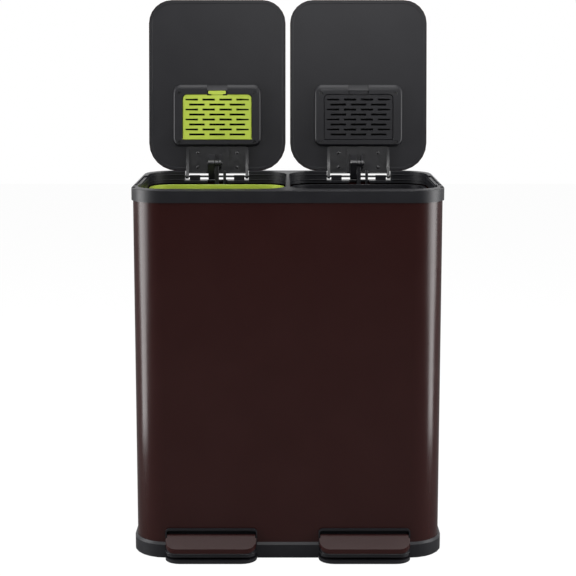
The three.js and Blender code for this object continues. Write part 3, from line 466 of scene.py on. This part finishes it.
door_finishes = {"left": (green_plastic, "green_plastic"), "right": (black_plastic, "black_plastic")}
for side, (plastic, plastic_slot) in door_finishes.items():
    lid, door = f"lid_{side}", f"filter_door_{side}"
    dress(f"filter_frame_{side}", black_plastic, lid, 0.8 * mm)
    dress(f"carbon_pad_{side}", carbon_felt, lid, 0.8 * mm)

    grille = copy_of(door, door + "_made")
    open_slots(grille, side)
    fit_out(soften(grille, 0.3 * mm), plastic, door)
    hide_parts(door)

    for i in range(1, 5):
        dress(f"frame_screw_{side}_{i}", black_steel, lid, 0.3 * mm)
    heads = on_lid(cross_head(), side, head_places)
    made(f"screw_heads_{side}", heads, black_steel, lid)

# ---------------------------------------------------------------- pedals
# A bent steel lever on a zinc plated axle carries a plastic tread, lipped along its front, with a brown
# steel cover.

# Bright zinc: a cool grey mirror, blurred along the axle by the marks of drawing.
bright_zinc = finish(
    "bright_zinc",
    tint=(20 * mm, "a8a9ab", "bdbec0"),
    rough=(6 * mm, 0.22, 0.36),
    grain=(0.5 * mm, 0.01 * mm),
    metallic=1.0,
    detail=(2, 2, 2),
    stretch=(1, 0.1, 0.05),
)

lip_half_width, lip_half_length, lip_corner, lip_thickness = 79.7 * mm, 10.6 * mm, 18 * mm, 1.7 * mm
lip_y, lip_z = -194.9 * mm, 15.8 * mm
for side, sign in SIDES.items():
    pedal = f"pedal_{side}"
    dress(f"pedal_axle_{side}", bright_zinc, "root", 0.6 * mm)
    dress(f"pedal_lever_{side}", black_steel, pedal, 0.5 * mm)
    dress(f"pedal_tread_{side}", black_plastic, pedal, 0.6 * mm)

    lip = flat(lip_half_width, lip_half_length, (sign * pedal_middle, lip_y, lip_z))
    round_corners(lip, [v for v in lip.verts if v.co.y < lip_y], lip_corner, 10)
    thicken(lip, (0, 0, lip_thickness))
    made(f"tread_lip_{side}", lip, black_plastic, pedal, 0.5 * mm)

    dress(f"pedal_cover_{side}", brown_coat, pedal, 1.4 * mm, segments=3)

# ---------------------------------------------------------------- floor and backdrop
# A matt white studio floor that runs out to a white backdrop. The camera sees both as paper white, and the
# satin front of the bin mirrors the floor only faintly.


def backcloth(name, shape, place=(0, 0, 0)):
    """A flat part of the studio from a bmesh."""
    mesh = bpy.data.meshes.new(name)
    bmesh.ops.translate(shape, vec=place, verts=shape.verts)
    shape.to_mesh(mesh)
    shape.free()
    board = bpy.data.objects.new(name, mesh)
    bpy.context.scene.collection.objects.link(board)
    return board


floor = backcloth("floor", flat(6, 6))
glow_share, floor_seen, floor_mirrored = 0.93, 1.03, 0.2
paper = bpy.data.materials.new("studio_floor")
paper.use_nodes = True
tree = paper.node_tree
tree.nodes.clear()
rays = node(tree, "ShaderNodeLightPath", {})
camera_ray, glossy_ray = rays.outputs["Is Camera Ray"], rays.outputs["Is Glossy Ray"]
levels = {0: camera_ray, 1: floor_seen - floor_mirrored, 2: floor_mirrored}
level = node(tree, "ShaderNodeMath", levels, operation="MULTIPLY_ADD").outputs[0]
looked_at = node(tree, "ShaderNodeMath", {0: camera_ray, 1: glossy_ray}, operation="MAXIMUM").outputs[0]
share = node(tree, "ShaderNodeMath", {0: looked_at, 1: glow_share}, operation="MULTIPLY").outputs[0]
matt = node(tree, "ShaderNodeBsdfDiffuse", {"Color": (0.85, 0.85, 0.85, 1)}).outputs[0]
glow = node(tree, "ShaderNodeEmission", {"Strength": level}).outputs[0]
mixed = node(tree, "ShaderNodeMixShader", {0: share, 1: matt, 2: glow}).outputs[0]
node(tree, "ShaderNodeOutputMaterial", {"Surface": mixed})
floor.data.materials.append(paper)

world = bpy.data.worlds.new("studio")
bpy.context.scene.world = world
world.use_nodes = True
tree = world.node_tree
tree.nodes.clear()
rays = node(tree, "ShaderNodeLightPath", {}).outputs
seen = rays["Is Camera Ray"]
for other in ("Is Glossy Ray", "Is Transmission Ray"):
    seen = node(tree, "ShaderNodeMath", {0: seen, 1: rays[other]}, operation="MAXIMUM").outputs[0]
fill = node(tree, "ShaderNodeBackground", {"Color": (1, 1, 1, 1), "Strength": 0.26}).outputs[0]
white = node(tree, "ShaderNodeBackground", {"Color": (1, 1, 1, 1), "Strength": 1.0}).outputs[0]
mixed = node(tree, "ShaderNodeMixShader", {0: seen, 1: fill, 2: white}).outputs[0]
node(tree, "ShaderNodeOutputWorld", {"Surface": mixed})

# ---------------------------------------------------------------- lamps and cards
# Two large softboxes at the sides, one overhead and a small one in front. Cards that show in reflections
# alone keep the front dark, draw a streak down each rounded corner and light the upper edges.


def turn_to(place, aim):
    """The turn that faces a lamp or a card at place towards aim."""
    return (Vector(aim) - Vector(place)).to_track_quat("-Z", "Y")


def softbox(name, place, aim, width, height, watts):
    light = bpy.data.lights.new(name, "AREA")
    light.shape = "RECTANGLE"
    light.size, light.size_y = width, height
    light.energy = watts
    lamp = bpy.data.objects.new(name, light)
    bpy.context.scene.collection.objects.link(lamp)
    lamp.location = place
    lamp.rotation_euler = turn_to(place, aim).to_euler()


def card(name, place, aim, width, height, brightness):
    shape = flat(width / 2, height / 2)
    bmesh.ops.rotate(shape, matrix=turn_to(place, aim).to_matrix(), verts=shape.verts)
    board = backcloth(name, shape, place)
    board.visible_camera = board.visible_diffuse = False
    board.visible_shadow = board.visible_transmission = False
    face = bpy.data.materials.new(name)
    face.use_nodes = True
    looks = {"Base Color": (0.01, 0.01, 0.01, 1), "Roughness": 1.0}
    looks |= {"Emission Color": (1, 1, 1, 1), "Emission Strength": brightness}
    feed(face.node_tree, face.node_tree.nodes["Principled BSDF"], looks)
    board.data.materials.append(face)


body_middle = (0, 0, 0.5)
softbox("left_softbox", (-2.35, -0.35, 1.0), body_middle, 1.8, 2.2, 84)
softbox("right_softbox", (2.35, -0.35, 1.0), body_middle, 1.8, 2.2, 78)
softbox("top_softbox", (0, -0.3, 3.0), body_middle, 1.6, 1.2, 40)
softbox("front_softbox", (0.28, -3.1, 2.35), (0.1, 0.17, 0.95), 0.5, 0.5, 34)

card("black_card", (0, -3.3, 2.2), (0, 0, 2.2), 6.8, 4.4, 0)
card("left_strip_card", (-0.95, -0.2, 0.46), (0, -0.2, 0.46), 0.3, 0.9, 12)
card("right_strip_card", (0.95, -0.22, 0.46), (0, -0.22, 0.46), 0.26, 0.9, 12)
card("front_strip_card", (0, -1.5, 2.6), (0, -0.2, 0.3), 3.0, 1.1, 3)

# ---------------------------------------------------------------- camera
# The photograph's camera: a long lens in front of the bin, a little above its rim and tilted down, with
# its frame shifted to hold the open lids and the pedals.

picture_width, sensor_width, focal_length = 576, 36, 1443.8
camera_place, camera_tilt = (0, -2.61, 0.922), 8.302
camera_data = bpy.data.cameras.new("camera")
camera_data.sensor_width = sensor_width
camera_data.lens = focal_length / picture_width * sensor_width
camera_data.shift_x = 0.0003
camera_data.shift_y = -0.085
camera_data.clip_end = 50
camera = bpy.data.objects.new("camera", camera_data)
bpy.context.scene.collection.objects.link(camera)
camera.location = camera_place
camera.rotation_euler = (math.radians(90 - camera_tilt), 0, 0)
bpy.context.scene.camera = camera
bpy.context.scene.view_settings.view_transform = "Standard"
